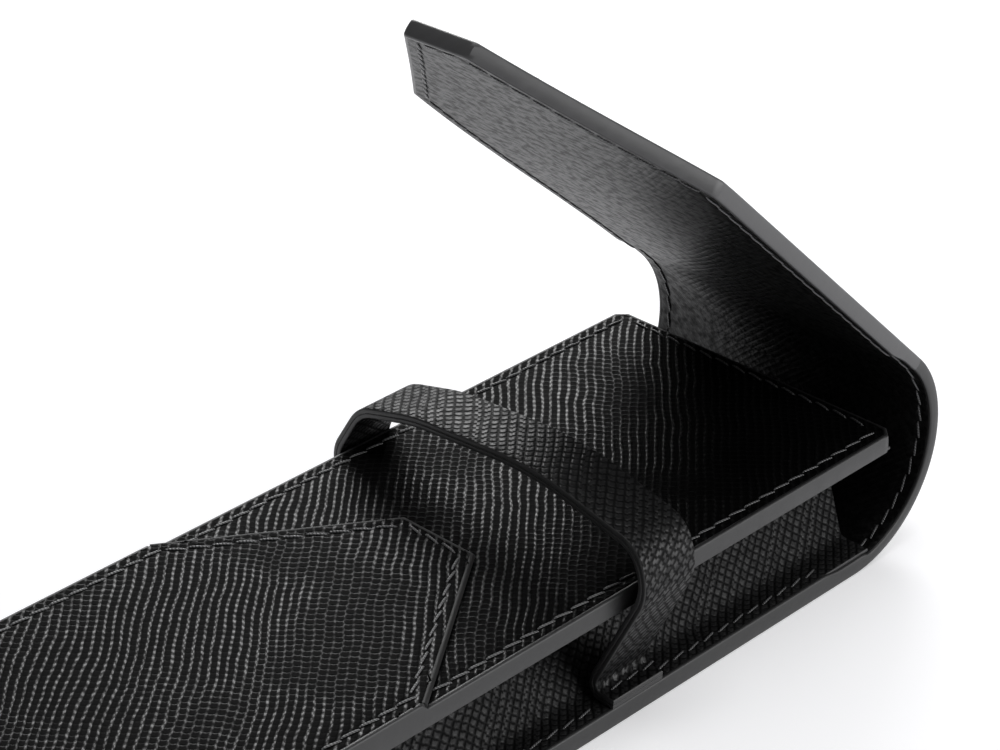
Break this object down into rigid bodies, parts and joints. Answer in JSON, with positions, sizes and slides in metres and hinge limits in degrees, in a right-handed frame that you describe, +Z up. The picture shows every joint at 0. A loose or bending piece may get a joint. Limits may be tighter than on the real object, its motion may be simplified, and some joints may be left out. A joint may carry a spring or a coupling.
{
  "type": "fountain pen case",
  "caption": "Slim leather pen case with a folding flap that ends in a tapered tongue, side gussets and a fixed strap loop.",
  "frame": {"origin": "centre of the flat resting face of the back: on the centre line, halfway along the body", "axes": "+X to the right side, +Y towards the mouth, +Z up out of the back through the front panel"},
  "size_m": [0.056, 0.17, 0.0912],
  "materials": {
    "saffiano_leather": "cross-grained embossed leather, semi-gloss, black",
    "facing_leather": "cross-grained embossed inner leather, black",
    "gusset_leather": "thin cross-grained leather, black",
    "strap_leather": "cross-grained strap leather with painted edges, black",
    "stiffening_board": "bonded leather fibre board, matt",
    "thread": "bonded black polyester thread"
  },
  "bodies": {
    "case": {"outer_back": "saffiano_leather", "back_board": "stiffening_board", "back_facing": "facing_leather", "end_lining": "facing_leather", "gusset_right": "gusset_leather", "gusset_left": "gusset_leather", "back_stitching": "thread", "strap_end_right": "strap_leather", "strap_end_left": "strap_leather", "strap_end_stitching": "thread"},
    "front": {"front_panel": "saffiano_leather", "front_board": "stiffening_board", "front_lining": "facing_leather", "front_overlay": "saffiano_leather", "front_stitching": "thread", "overlay_stitching": "thread"},
    "spine_lower": {"spine_outer_lower": "saffiano_leather", "spine_facing_lower": "facing_leather", "spine_stitching_lower": "thread"},
    "spine_upper": {"spine_outer_upper": "saffiano_leather", "spine_facing_upper": "facing_leather", "spine_stitching_upper": "thread"},
    "flap": {"flap_outer": "saffiano_leather", "flap_board": "stiffening_board", "flap_facing": "facing_leather", "flap_stitching": "thread"},
    "strap": {"strap_outer": "strap_leather", "strap_lining": "strap_leather"}
  },
  "joints": [
    {"name": "spine_bend_low", "type": "hinge", "parent": "case", "child": "spine_lower", "pos_m": [0, 0.07955, 0.00131], "axis": [1, 0, 0], "range_deg": [-45.33, 10.5]},
    {"name": "spine_bend_middle", "type": "hinge", "parent": "spine_lower", "child": "spine_upper", "pos_m": [0, 0.08876, 0.01063], "axis": [1, 0, 0], "range_deg": [-45.83, 11]},
    {"name": "spine_bend_top", "type": "hinge", "parent": "spine_upper", "child": "flap", "pos_m": [0, 0.08861, 0.02373], "axis": [1, 0, 0], "range_deg": [-45.83, 11]},
    {"name": "strap_lean", "type": "hinge", "parent": "case", "child": "strap", "pos_m": [0, 0.02835, 0.0044], "axis": [1, 0, 0], "range_deg": [-3, 6]},
    {"name": "mouth_gape", "type": "hinge", "parent": "case", "child": "front", "pos_m": [0, -0.08, 0.012], "axis": [1, 0, 0], "range_deg": [0, 0.3], "deforming": ["gusset_right", "gusset_left"]}
  ],
  "couplings": [
    {"joint": "spine_bend_middle", "follows": "spine_bend_low", "ratio": 1},
    {"joint": "spine_bend_top", "follows": "spine_bend_low", "ratio": 1}
  ]
}
